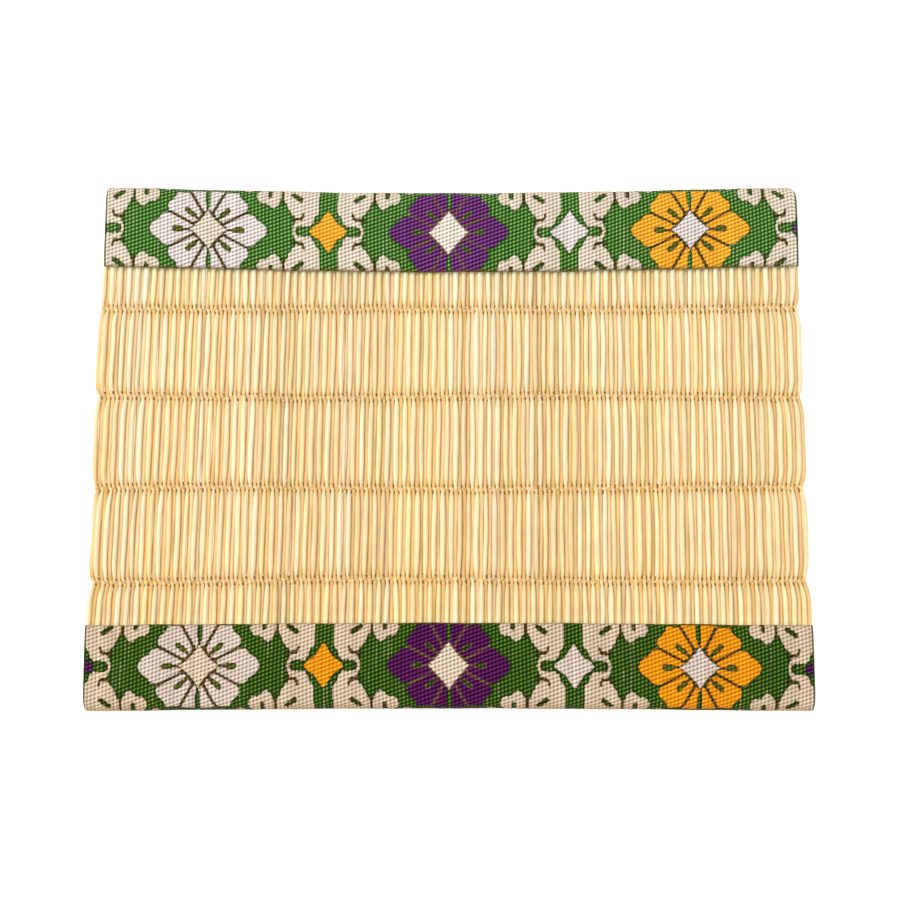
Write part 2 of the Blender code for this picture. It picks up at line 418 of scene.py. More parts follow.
def thread(path, half_width):
    """Points of a flattened tube round a path, ring by ring."""
    ahead = np.gradient(path, axis=0)
    ahead /= np.linalg.norm(ahead, axis=1)[:, None]
    up = np.tile((0.0, 0.0, 1.0), (len(path), 1))
    side = np.cross(up, ahead)
    side /= np.linalg.norm(side, axis=1)[:, None]
    up = np.cross(ahead, side)
    angle = 2.0 * np.pi * np.arange(THREAD_SIDES) / THREAD_SIDES
    return (
        path[:, None, :] + half_width[:, None, None] * side[:, None, :] * np.cos(angle)[:, None]
        + THREAD_HALF_HEIGHT * up[:, None, :] * np.sin(angle)[:, None]
    )


def warp_threads(lines, material):
    """At each pinch two threads run across, under one rush and over the next."""
    stations = rush_stations()
    zigzag = np.where(np.arange(RUSHES - 1) % 2 == 0, GAP_ZIGZAG, -GAP_ZIGZAG)
    paths = []
    for line in PINCH_LINES:
        for side in (-1.0, 1.0):
            at = np.abs(stations - (line + side * WARP_GAP / 2)).argmin()
            x, y, over = lines["x"][:, at], lines["y"][:, at], lines["over"][:, at]
            at_rush = np.stack([x, y, MID_HEIGHT - WARP_RISE * over], axis=-1)
            path = np.zeros((3 * RUSHES + 1, 3))
            path[1::3] = at_rush - (HALF_HOLD, 0.0, 0.0)
            path[2::3] = at_rush + (HALF_HOLD, 0.0, 0.0)
            path[3:-1:3] = (at_rush[1:] + at_rush[:-1]) / 2.0 - (0.0, 0.0, GAP_DIP)
            path[3:-1:3, 1] += zigzag + RNG.uniform(-GAP_STRAY, GAP_STRAY, RUSHES - 1)
            path[0] = at_rush[0] - (THREAD_OVERHANG, 0.0, 0.0)
            path[-1] = at_rush[-1] + (THREAD_OVERHANG, 0.0, 0.0)
            paths.append(path)
    in_gap = np.arange(3 * RUSHES + 1) % 3 == 0
    in_gap[[0, -1]] = False
    half_width = np.where(in_gap, HALF_WIDTH_IN_GAP, HALF_WIDTH_AT_RUSH)
    points = np.array([thread(path, half_width) for path in paths])
    faces = tube_faces(len(paths), points.shape[1], THREAD_SIDES)
    piece = mesh_piece("warp_threads", points.reshape(-1, 3), faces, material)
    # Painted shade: dark brown where the thread lies in a gap between rushes, pale straw where it
    # meets a rush
    shades = RNG.uniform(*GAP_PAINTED_SHADES, (len(paths), len(in_gap), 1))
    shades = np.where(in_gap[:, None], shades, 1.0)
    tones = shades * np.where(in_gap[:, None], srgb(110, 66, 18), srgb(240, 206, 144))
    paint(piece, "Tone", "POINT", np.repeat(tones, THREAD_SIDES, axis=1))
    return piece


def inside(polygon, x, y):
    """Which places lie inside a polygon, by the even-odd rule."""
    found = np.zeros(x.shape, bool)
    for (ax, ay), (bx, by) in zip(polygon, polygon[1:] + polygon[:1]):
        crosses = (ay > y) != (by > y)
        reach = ax + (bx - ax) * (y - ay) / (by - ay if by != ay else 1.0)
        found ^= crosses & (x < reach)
    return found


def inside_star(reach, power, x, y):
    """Which places lie inside a four-pointed star with hollow sides."""
    x_part, y_part = np.abs(x) / reach[0], y.clip(0.0) / reach[1]
    return x_part ** power + y_part ** power <= 1.0


def near_line(start, end, half_width, x, y):
    """Which places lie within half_width of a straight line."""
    along = np.subtract(end, start)
    share = ((x - start[0]) * along[0] + (y - start[1]) * along[1]) / (along @ along)
    share = share.clip(0.0, 1.0)
    return np.hypot(x - start[0] - share * along[0], y - start[1] - share * along[1]) < half_width


# Flower with eight petals, one quarter of it; X along the binding, Y across, from its centre
SIDE_PETAL = [
    (2.5, -0.2), (2.6, 1.0), (6.2, 2.75), (6.8, 2.8), (7.4, 2.7), (7.8, 2.35), (8.1, 1.85),
    (8.6, 1.6), (9.1, 1.2), (9.5, 0.75), (9.85, -0.2),
]
DIAGONAL_PETAL = [
    (1.3, 1.6), (0.9, 3.0), (2.85, 6.5), (5.05, 6.6), (5.3, 5.7), (5.8, 5.2), (6.4, 4.7),
    (6.65, 4.1), (6.55, 3.5), (6.2, 3.1), (2.6, 1.0), (1.9, 1.3),
]
TOP_PETAL = [(-0.1, 3.0), (-0.1, 7.0), (2.9, 6.8), (2.85, 6.5), (0.9, 3.0)]
TOP_SLIT = [(-0.1, 3.6), (0.16, 3.6), (0.34, 4.4), (0.42, 5.4), (0.42, 7.4), (-0.1, 7.4)]
STAR_CENTRES = (((3.25, 3.5), 0.82), ((3.25, 3.75), 0.93), ((3.25, 3.5), 0.82))
STAR_RING = 0.42
FLOWER_LINES = [
    ((2.6, 1.0), (6.3, 2.98), 0.22),
    ((0.9, 3.0), (2.85, 6.5), 0.24),
    ((1.4, 1.5), (0.8, 3.0), 0.22),
    ((1.5, 1.45), (2.7, 0.9), 0.22),
]
FLOWER_SLITS = [
    ((3.3, 0.0), (4.6, 0.0), 0.17),
    ((4.6, 0.0), (5.5, 0.0), 0.46),
    ((1.6, 1.75), (2.4, 2.5), 0.2),
    ((2.4, 2.5), (3.4, 3.35), 0.38),
]
SLIT_SPREAD = 0.05
SLIT_RIM = 0.2

# Four-pointed star with leaves round it, one quarter
STAR = [
    (-0.1, 3.65), (0.2, 3.4), (1.1, 2.0), (1.55, 1.35), (2.4, 0.85), (3.1, 0.2), (3.15, -0.1),
    (-0.1, -0.1),
]
MAIN_LEAF = [
    (1.5, 7.7), (1.5, 3.3), (2.3, 2.3), (2.45, 1.5), (3.1, 0.85), (3.9, 0.95), (4.7, 0.85),
    (5.2, 0.5), (5.35, -0.1), (5.9, -0.1), (5.8, 0.6), (5.5, 1.3), (5.3, 1.8), (5.5, 2.6),
    (6.1, 3.1), (6.6, 3.9), (6.85, 4.6), (7.3, 5.4), (7.4, 6.4), (7.35, 7.7),
]
SMALL_LEAF = [
    (7.75, 7.7), (7.75, 6.0), (7.95, 5.1), (8.35, 4.35), (8.9, 3.9), (9.4, 4.0), (9.8, 4.45),
    (10.3, 4.85), (11.2, 4.85), (11.75, 5.5), (11.9, 6.2), (11.6, 7.0), (11.0, 7.7),
]
LEAF_LINES = [
    ((4.05, 3.0), (4.25, 2.3), 0.2),
    ((4.4, 2.15), (5.7, 2.0), 0.28),
    ((7.57, 4.9), (7.57, 7.7), 0.24),
]
LEAF_SLITS = [((4.5, 5.4), (5.75, 6.35), 0.42), ((9.65, 6.1), (9.65, 7.7), 0.36)]
EYE_LINE = [((4.9, 0.75), (5.25, 0.4), 0.12), ((5.25, 0.4), (5.35, 0.0), 0.12)]
LOBE = [(5.9, 7.7), (6.1, 7.2), (6.7, 6.95), (7.3, 7.2), (7.5, 7.7)]

# Light and dark colour of each sort of thread, how far its binding shows as separate dots, and how
# strongly painted shade darkens the grooves between its columns
THREAD_FIELDS = ("light", "dark", "dotty", "groove")
THREADS = {
    # The dark colours are the binding threads' own together with painted shade in the twill's
    # hollows; the ground's light colours hold a painted sheen
    "ground_far": (srgb(138, 184, 96), srgb(6, 61, 0), 0.2, 0.64),
    # Painted shade: the near strip's ground, purple and orange are darker copies of the far strip's
    "ground_near": (srgb(110, 150, 54), srgb(0, 44, 0), 0.2, 0.64),
    "white": (srgb(231, 221, 214), srgb(134, 116, 114), 0.75, 0.05),
    "purple_far": (srgb(144, 76, 153), srgb(38, 0, 43), 0.2, 0.34),
    "purple_near": (srgb(119, 42, 125), srgb(28, 0, 29), 0.2, 0.34),
    "orange_far": (srgb(249, 187, 62), srgb(200, 112, 12), 0.45, 0.1),
    "orange_near": (srgb(250, 178, 34), srgb(202, 104, 4), 0.45, 0.1),
    "ivory": (srgb(228, 214, 194), srgb(134, 116, 92), 0.75, 0.05),
    "cream": (srgb(236, 222, 204), srgb(130, 110, 94), 0.75, 0.05),
    "pale_cream": (srgb(240, 230, 214), srgb(138, 118, 102), 0.75, 0.05),
    "olive": (srgb(116, 100, 48), srgb(30, 24, 2), 0.3, 0.5),
    "slit": (srgb(104, 132, 44), srgb(52, 56, 14), 0.4, 0.4),
    "tan": (srgb(140, 110, 72), srgb(60, 30, 54), 0.3, 0.4),
    "backing": (srgb(56, 88, 40), srgb(24, 48, 14), 0.3, 0.5),
}
CODE = {name: number for number, name in enumerate(THREADS)}
PETALS = ("white", "purple_", "orange_")
FLOWER_CENTRES = ("cream", "pale_cream", "white")
# Painted shade over each strip, darker on the near one
PAINTED_SHADE_BY_SIDE = {"far": (0.97, 0.97, 0.97), "near": (0.87, 0.79, 0.71)}

# Faults of the cloth, painted shade and shadow, and dark lines at the cut ends
WARP_THREADS = 400
BRIGHT_SHARE = 0.06               # of the warp threads
BRIGHT_THREAD = 1.1
THREAD_SPREAD = 0.04
PULLED = 190
PULLED_FROM = (-58.0, 0.0, 1.0)   # least place along the binding, start across it and length
PULLED_TO = (58.0, 13.0, 6.0)     # and the most of each
PULLED_HALF_WIDTH = 0.11
PULLED_SHARE = 0.5
# Painted shadow on the ground beside a motif
OUTLINE_SHADOW = 0.42
# Painted shade along the outer fold, where the cloth turns down
FOLD_PAINTED_SHADE = (0.69, 0.42, 0.26)
FOLD_SHADE_SHARE = 0.55
FOLD_SHADE_WIDTH = 0.85
FOLD_SHADE_INSET = 0.7
# Painted shadow line along the seam
SEAM_SHADOW_SHARE = 0.6
SEAM_SHADOW_PLACE = -0.1
SEAM_SHADOW_WIDTH = 0.3
END_LINE_SHARE = 0.8
END_LINE_WIDTH = 0.3
BRIGHTEST_CLOTH = 0.95


def thread_values(field, codes):
    """One field of THREADS for each place on the cloth."""
    number = THREAD_FIELDS.index(field)
    return np.array([values[number] for values in THREADS.values()])[codes]


def motifs(x, v, side):
    """Thread of each place on the cloth: x along the binding, v across it, from its seam."""
    ground = "ground_" + side
    cell_x = (np.floor(x / WARP_PITCH) + 0.5) * WARP_PITCH
    tooth = np.where(np.abs(x - cell_x) < WARP_PITCH / 5.0, -TEETH, TEETH)
    height = np.abs(v - PATTERN_CENTRE[side] - PATTERN_SKEW[side] * x)
    height = np.where(height > PATTERN_MIRROR, 2.0 * PATTERN_MIRROR - height, height)
    height = np.abs(height)
    toothed = height + tooth
    codes = np.full(x.shape, CODE[ground])

    # Stars and leaves
    number = np.floor(x / MOTIF_PITCH)
    kind = np.mod(number, 3).astype(int)
    across = np.abs(x - (number + 0.5) * MOTIF_PITCH)
    leaf = inside(MAIN_LEAF, across, toothed) | inside(SMALL_LEAF, across, toothed)
    codes[leaf] = CODE["ivory"]
    for start, end, half_width in LEAF_LINES + EYE_LINE:
        codes[near_line(start, end, half_width, across, height)] = CODE["olive"]
    for start, end, half_width in LEAF_SLITS:
        codes[near_line(start, end, half_width, across, height)] = CODE["olive"]
        codes[near_line(start, end, half_width - SLIT_RIM, across, height)] = CODE[ground]
    star = inside(STAR, across, toothed)
    petals = np.array([CODE[name + side if name.endswith("_") else name] for name in PETALS])
    codes[star] = petals[kind[star]]

    # Flowers
    number = np.round(x / MOTIF_PITCH)
    kind = np.mod(number + 1, 3).astype(int)
    across = np.abs(x - number * MOTIF_PITCH)
    petal = inside(SIDE_PETAL, across, toothed) | inside(DIAGONAL_PETAL, across, toothed)
    petal |= inside(TOP_PETAL, across, toothed)
    petal &= ~inside(TOP_SLIT, across, height)
    codes[petal] = petals[kind[petal]]
    line = np.array([CODE["olive"], CODE["tan"], CODE["olive"]])
    slit = np.array([CODE["slit"], CODE[ground], CODE["slit"]])
    for start, end, half_width in FLOWER_LINES:
        chosen = near_line(start, end, half_width, across, height)
        codes[chosen] = line[kind[chosen]]
    for reach, colours in ((0.0, line), (SLIT_RIM, slit)):
        for start, end, half_width in FLOWER_SLITS:
            chosen = near_line(start, end, half_width + SLIT_SPREAD - reach, across, height)
            codes[chosen] = colours[kind[chosen]]
    for flower, (reach, power) in enumerate(STAR_CENTRES):
        ring_reach = (reach[0] + STAR_RING, reach[1] + STAR_RING)
        ring = (kind == flower) & inside_star(ring_reach, power, across, toothed)
        codes[ring] = line[flower]
        middle = (kind == flower) & inside_star(reach, power, across, toothed)
        codes[middle] = CODE[FLOWER_CENTRES[flower]]
    codes[inside(LOBE, across, toothed)] = CODE["ivory"]
    return codes


def hem_rows(outward):
    """Half of a rounded hem, from its tip to the wall: slide along the wall, offset, v."""
    turns = np.linspace(0.0, math.pi / 2.0, 5)[:-1]
    half = CLOTH / 2
    slide = half * (1.0 - np.cos(turns))
    return slide, outward * half * np.sin(turns), half - half * (math.pi / 2.0 - turns)


def section(seam_y, outward, pick, under_pick):
    """Rows across one face of the folded strip, from the top seam round the fold to the other seam.

    Each row has: slide, offset from the middle line, share of the wall, turn, wall and v.
    """
    half = CLOTH / 2
    wall = FOLD_CENTRE_Y - seam_y
    under = wall - UNDER_WALL_SHORTER
    radius = FOLD_RADIUS + outward * half
    slide, offset, v = hem_rows(outward)
    rows = [(a, b, 0.0, 0.0, 0, c) for a, b, c in zip(slide, offset, v)]
    for s in np.linspace(half, wall, round((wall - half) / pick), endpoint=False):
        rows.append((0.0, outward * half, s / wall, 0.0, 0, s))
    arc = math.pi * radius
    for s in np.linspace(0.0, arc, round(arc / pick), endpoint=False):
        rows.append((0.0, outward * half, 1.0, s / radius, 1, wall + s))
    for s in np.linspace(0.0, under - half, round((under - half) / under_pick), endpoint=False):
        rows.append((0.0, outward * half, 1.0 - s / under, math.pi, 2, wall + arc + s))
    end = wall + arc + under
    rows += [(a, b, 0.0, math.pi, 2, end - c) for a, b, c in zip(slide, offset, v)][::-1]
    return np.array(rows)


def ring_faces(columns, rows, turned):
    """Quads between neighbouring rings of points, and a cap over the first and the last ring."""
    column, row = np.meshgrid(np.arange(columns - 1), np.arange(rows), indexing="ij")
    after = (row + 1) % rows
    quads = np.stack([
        column * rows + row, (column + 1) * rows + row,
        (column + 1) * rows + after, column * rows + after,
    ], axis=-1).reshape(-1, 4)
    caps = [list(range(rows)), list(range((columns - 1) * rows, columns * rows))[::-1]]
    if turned:
        return quads[:, ::-1], [cap[::-1] for cap in caps]
    return quads, caps


def wave(shape, x, v):
    """A long wave in the cloth at each place."""
    size, along, across, start = shape
    return size * np.sin(x / along + v / across + start)


def strayed(x, v):
    """The cloth's own threads don't run quite square to the binding."""
    return x + wave(THREAD_WAVE, x, v)


def rippled(x, v):
    """Height of the soft waves in the cloth."""
    return wave(RIPPLES[0], x, v) + wave(RIPPLES[1], x, v)


def seam_wobble(x, from_seam):
    """How far the seam strays from a straight line."""
    first, second = SEAM_WOBBLE_LENGTHS
    wobble = SEAM_WOBBLE * np.sin(x / first) * np.sin(x / second + SEAM_WOBBLE_START)
    return wobble * np.exp(-from_seam / SEAM_WOBBLE_FADING)


def binding(side, seam_sign, material):
    """One strip of brocade: a closed sheet folded into a U over the panel's end."""
    left, right = CUT_ENDS[side]
    columns = round((right - left - 2.0 * END_ROUNDING) / COLUMN_STEP)
    x = np.linspace(left + END_ROUNDING, right - END_ROUNDING, columns + 1)
    tip = END_ROUNDING * np.array(END_TIP)
    x = np.concatenate([left + tip, x, right - tip[::-1]])[:, None]

    seam_y = SEAM_Y[side]
    outer = section(seam_y, 1.0, PICK, UNDER_PICK)
    inner = section(seam_y, -1.0, INNER_PICK, 2.0 * INNER_PICK)[1:-1][::-1]
    slide, offset, share, turn, wall, v = np.concatenate([outer, inner]).T
    outer_rows = len(outer)
    on_outer_face = np.arange(len(v)) < outer_rows

    from_end = np.minimum(x - left, right - x).clip(0.0)
    into_end = (1.0 - from_end / END_ROUNDING).clip(0.0)
    offset = offset * (END_THICKNESS + (1.0 - END_THICKNESS) * np.sqrt(1.0 - into_end ** 2))
    radii = np.where(x < 0.0, CORNER_RADII[side][0], CORNER_RADII[side][1])
    into_corner = (radii - from_end).clip(0.0)
    fold_y = FOLD_CENTRE_Y - (radii - np.sqrt((radii ** 2 - into_corner ** 2).clip(0.0)))
    start = np.where(wall == 2, seam_y + UNDER_WALL_SHORTER, seam_y)
    run = share * (fold_y - start)
    radius = FOLD_RADIUS + offset

    # Relief: motifs stand up, their lines lie deep, and the twill dips where it binds. x is a
    # column of numbers and v a row, so adding 0.0 * x repeats a row for every column of the cloth.
    codes = motifs(strayed(x, v), v + 0.0 * x, side)
    raised = np.where(codes == CODE["ground_" + side], 0.0, MOTIF_RAISE)
    raised = np.where((codes == CODE["olive"]) | (codes == CODE["tan"]), -LINE_SINK, raised)
    raised[:, outer_rows:] = 0.0
    cloth_column = strayed(x, v) / WARP_PITCH
    cloth_pick = seam_sign * v / PICK + 0.0 * x
    twill = 0.5 + 0.5 * np.cos(2.0 * np.pi * (cloth_pick - cloth_column) / 3.0)
    binding_dip = twill * (0.5 - 0.5 * np.cos(2.0 * np.pi * cloth_column))
    raised = raised - np.where(on_outer_face, TWILL_DIP, 0.0) * binding_dip

    # The wall underneath is set in by as much as its motifs stand up, so that it lies on the ground
    facing_up = np.where(wall == 1, 0.5 + 0.5 * np.cos(turn), wall == 0)
    radius = radius + raised - MOTIF_RAISE * (1.0 - facing_up) + rippled(x, v) * facing_up

    top = wall == 0
    crown = np.where(top, WALL_CROWN * np.sin(np.pi * share), 0.0)
    from_seam = run + slide
    press = np.where(top, HEM_PRESS * np.exp(-(from_seam / HEM_PRESS_WIDTH) ** 2), 0.0)
    wobble = seam_wobble(x, from_seam)
    y = seam_sign * (start + from_seam + radius * np.sin(turn) + wobble)
    z = MID_HEIGHT + radius * np.cos(turn) + crown - press
    points = np.stack([x + 0.0 * y, y + end_bow(x, y), z + 0.0 * x], axis=-1)

    quads, caps = ring_faces(len(x), len(v), seam_sign < 0.0)
    piece = mesh_piece("brocade_" + side, points.reshape(-1, 3), quads.tolist() + caps, material)
    paint_threads_and_shade(piece, x, v, outer_rows, side)
    cloth = piece.data.attributes.new("Cloth", "FLOAT_VECTOR", "POINT")
    cloth.data.foreach_set("vector", np.stack([
        cloth_column, cloth_pick, thread_values("dotty", codes)
    ], axis=-1).astype(np.float32).ravel())
    # How strongly painted shade darkens the grooves at each place
    grooves = piece.data.attributes.new("GrooveShade", "FLOAT", "POINT")
    grooves.data.foreach_set("value", thread_values("groove", codes).astype(np.float32).ravel())
    lay_out(piece, binding_places(quads, x[:, 0], v, outer_rows))
    return piece


def paint_threads_and_shade(piece, x, v, outer_rows, side):
    """Gives each face of a binding the colours of one thread, from the pattern at its middle, with
    painted shade and shadow added on top.
    """
    middle_x = (x[:-1] + x[1:]) / 2.0
    middle_v = (v + np.roll(v, -1)) / 2.0
    codes = motifs(strayed(middle_x, middle_v), middle_v + 0.0 * middle_x, side)
    codes[:, outer_rows - 1:] = CODE["backing"]
    light, dark = thread_values("light", codes), thread_values("dark", codes)
    ground = codes == CODE["ground_" + side]
    # Painted shadow round the motifs, then painted shade over the strip, along the fold and at the
    # seam
    light = pulled(edge_shadowed(light, ground), ground, middle_x, middle_v)
    light = stripes_and_painted_shade(light, middle_x, middle_v, side)
    dark = stripes_and_painted_shade(dark, middle_x, middle_v, side)
    on_caps = np.full(2 * len(v), CODE["backing"])
    for name, colours in (("Light", light), ("Dark", dark)):
        on_quads = np.repeat(colours.reshape(-1, 1, 4), 4, axis=1).reshape(-1, 4)
        plain = thread_values(name.lower(), on_caps)
        paint(piece, name, "CORNER", np.concatenate([on_quads, plain]))


def edge_shadowed(colours, ground):
    """Painted shadow: the ground beside a motif is darkened, which leaves a dark line round it."""
    beside = np.zeros(ground.shape, bool)
    for columns, rows in ((1, 0), (-1, 0), (0, 1), (0, -1), (1, 1), (-1, -1), (1, -1), (-1, 1)):
        beside |= ~np.roll(ground, (columns, rows), axis=(0, 1))
    # Painted shadow on the ground beside a motif
    dim = np.where(ground & beside, OUTLINE_SHADOW, 1.0)[..., None]
    return np.concatenate([colours[..., :3] * dim, colours[..., 3:]], axis=-1)


def pulled(colours, ground, x, v):
    """Here and there a pale thread of the warp shows in the ground for a few millimetres."""
    for place, start, length in RNG.uniform(PULLED_FROM, PULLED_TO, (PULLED, 3)):
        here = (np.abs(x - place) < PULLED_HALF_WIDTH) & (v > start) & (v < start + length) & ground
        pale = PULLED_SHARE * srgb(200, 212, 156)
        colours[here] = (1.0 - PULLED_SHARE) * colours[here] + pale
    return colours


def stripes_and_painted_shade(colours, x, v, side):
    """Painted shade over the strip, darker on the near one; single brighter threads; painted shade
    along the outer fold; a painted shadow line at the seam; and dark lines at the cut ends.
    """
    # Painted shade over the whole strip, darker on the near one
    shaded_colours = colours[..., :3] * np.array(PAINTED_SHADE_BY_SIDE[side])
    column = np.floor(x / WARP_PITCH).astype(int)
    stripes = np.where(RNG.uniform(size=WARP_THREADS) < BRIGHT_SHARE, BRIGHT_THREAD, 1.0)
    stripes = stripes + THREAD_SPREAD * RNG.standard_normal(WARP_THREADS)
    shaded_colours = shaded_colours * stripes[column + WARP_THREADS // 2][..., None]

    # Painted shade along the outer fold
    outermost = FOLD_CENTRE_Y - SEAM_Y[side] + math.pi / 2.0 * (FOLD_RADIUS + CLOTH / 2.0)
    from_fold = v - outermost + FOLD_SHADE_INSET + 0.0 * x
    fold_shade = FOLD_SHADE_SHARE * np.exp(-(from_fold / FOLD_SHADE_WIDTH) ** 2)
    shaded_colours = shaded_colours * (1.0 - fold_shade[..., None] * (1.0 - np.array(FOLD_PAINTED_SHADE)))

    # Painted shadow line along the seam
    seam_shadow = SEAM_SHADOW_SHARE * np.exp(-(((v - SEAM_SHADOW_PLACE) / SEAM_SHADOW_WIDTH) ** 2))
    from_end = np.minimum(x - CUT_ENDS[side][0], CUT_ENDS[side][1] - x)
    at_end = END_LINE_SHARE * (from_end < END_LINE_WIDTH)
    for share, colour in ((seam_shadow, srgb(104, 76, 40)), (at_end, srgb(34, 58, 20))):
        share = (share + 0.0 * (x + v))[..., None]
        shaded_colours = shaded_colours * (1.0 - share) + colour[:3] * share
    return np.concatenate([shaded_colours.clip(0.0, BRIGHTEST_CLOTH), colours[..., 3:]], axis=-1)


def binding_places(quads, x, v, outer_rows):
    """Map of a binding: its left and right half above each other, each with its inner face on top."""
    rows = len(v)
    column, row = quads // rows, quads % rows
    left = column.min(axis=1)[:, None] < len(x) // 2
    split = x[len(x) // 2]
    on_left = (x[column] - x[0]) / (split - x[0])
    on_right = (x[column] - split) / (x[-1] - split)
    across = np.where(left, on_left, on_right)
    first = row.min(axis=1)[:, None]
    closing = (row.max(axis=1)[:, None] - first) > 1
    position = np.where(closing & (row == 0), rows, row)
    is_outer = (first < outer_rows - 1) & ~closing
    reach = np.interp(np.arange(rows + 1), np.arange(outer_rows), v[:outer_rows])
    along = (reach[position] - v[0]) / (v[outer_rows - 1] - v[0])
    inner = (position - outer_rows + 1) / (rows - outer_rows + 1)
    outer_height = OUTER_FACE_HEIGHT * along
    inner_height = INNER_FACE_START + INNER_FACE_HEIGHT * inner
    height = np.where(is_outer, outer_height, inner_height) + np.where(left, *CLOTH_HALVES)
    places = np.stack([CLOTH_LEFT + CLOTH_WIDTH * across, height], axis=-1).reshape(-1, 2)
    angle = 2.0 * np.pi * np.arange(rows) / rows
    circle = CLOTH_CAP_RADIUS * np.stack([np.cos(angle), np.sin(angle)], axis=-1)
    return np.concatenate([places] + [circle + centre for centre in CLOTH_CAPS])


def node(tree, kind, **sockets):
    """A node with some of its sockets set."""
    made = tree.nodes.new(kind)
    for name, value in sockets.items():
        made.inputs[name.replace("_", " ")].default_value = value
    return made


def maths(tree, operation, first, second=None, third=None):
    """A Math node's output, from numbers or other outputs."""
    made = tree.nodes.new("ShaderNodeMath")
    made.operation = operation
    for socket, value in zip(made.inputs, (first, second, third)):
        if isinstance(value, bpy.types.NodeSocket):
            tree.links.new(value, socket)
        elif value is not None:
            socket.default_value = value
    return made.outputs["Value"]


def inverse(tree, value):
    """One minus a value."""
    return maths(tree, "SUBTRACT", 1.0, value)


def scaled(tree, colour, factor):
    """A colour times a factor."""
    made = tree.nodes.new("ShaderNodeVectorMath")
    made.operation = "SCALE"
    tree.links.new(colour, made.inputs[0])
    tree.links.new(factor, made.inputs["Scale"])
    return made.outputs["Vector"]


def attribute(tree, name, output):
    """An output of the mesh's own attribute."""
    made = tree.nodes.new("ShaderNodeAttribute")
    made.attribute_name = name
    return made.outputs[output]


def noise(tree, scales, detail):
    """Noise in object space, stretched along each axis."""
    place = tree.nodes.new("ShaderNodeTexCoord")
    mapping = tree.nodes.new("ShaderNodeMapping")
    mapping.inputs["Scale"].default_value = scales
    tree.links.new(place.outputs["Object"], mapping.inputs["Vector"])
    made = node(tree, "ShaderNodeTexNoise", Scale=1.0, Detail=detail, Roughness=0.6)
    tree.links.new(mapping.outputs["Vector"], made.inputs["Vector"])
    return made.outputs["Fac"]


def bump(tree, shader, height, strength, distance):
    """Links a height to the shader's normal."""
    made = node(tree, "ShaderNodeBump", Strength=strength, Distance=distance)
    tree.links.new(height, made.inputs["Height"])
    tree.links.new(made.outputs["Normal"], shader.inputs["Normal"])


def new_material(name):
    """A material, its node tree and its shader."""
    material = bpy.data.materials.new(name)
    material.use_nodes = True
    tree = material.node_tree
    return material, tree, tree.nodes["Principled BSDF"]


def rush_material():
    """Dried rush: its tone, which holds painted light and shade, clouds, fine streaks along the stem
    and a faint shine.
    """
    material, tree, shader = new_material("dried_rush")
    streaks = noise(tree, (5200.0, 150.0, 5200.0), 3.0)
    cloudy = noise(tree, (500.0, 220.0, 500.0), 2.0)
    shade = maths(tree, "MULTIPLY_ADD", streaks, 0.50, 0.74)
    shade = maths(tree, "MULTIPLY", shade, maths(tree, "MULTIPLY_ADD", cloudy, 0.24, 0.88))
    colour = scaled(tree, attribute(tree, "Tone", "Color"), shade)
    tree.links.new(colour, shader.inputs["Base Color"])
    bump(tree, shader, streaks, 0.4, 0.00005)
    shader.inputs["Roughness"].default_value = 0.5
    shader.inputs["Specular IOR Level"].default_value = 0.2
    return material


def warp_material():
    """Twisted cotton thread: pale straw, painted dark as shade where it lies in the gaps between
    rushes.
    """
    material, tree, shader = new_material("warp_thread")
    strands = noise(tree, (2500.0, 2500.0, 2500.0), 2.0)
    shade = maths(tree, "MULTIPLY_ADD", strands, 0.6, 0.7)
    colour = scaled(tree, attribute(tree, "Tone", "Color"), shade)
    tree.links.new(colour, shader.inputs["Base Color"])
    bump(tree, shader, strands, 0.5, 0.00005)
    shader.inputs["Roughness"].default_value = 0.85
    return material


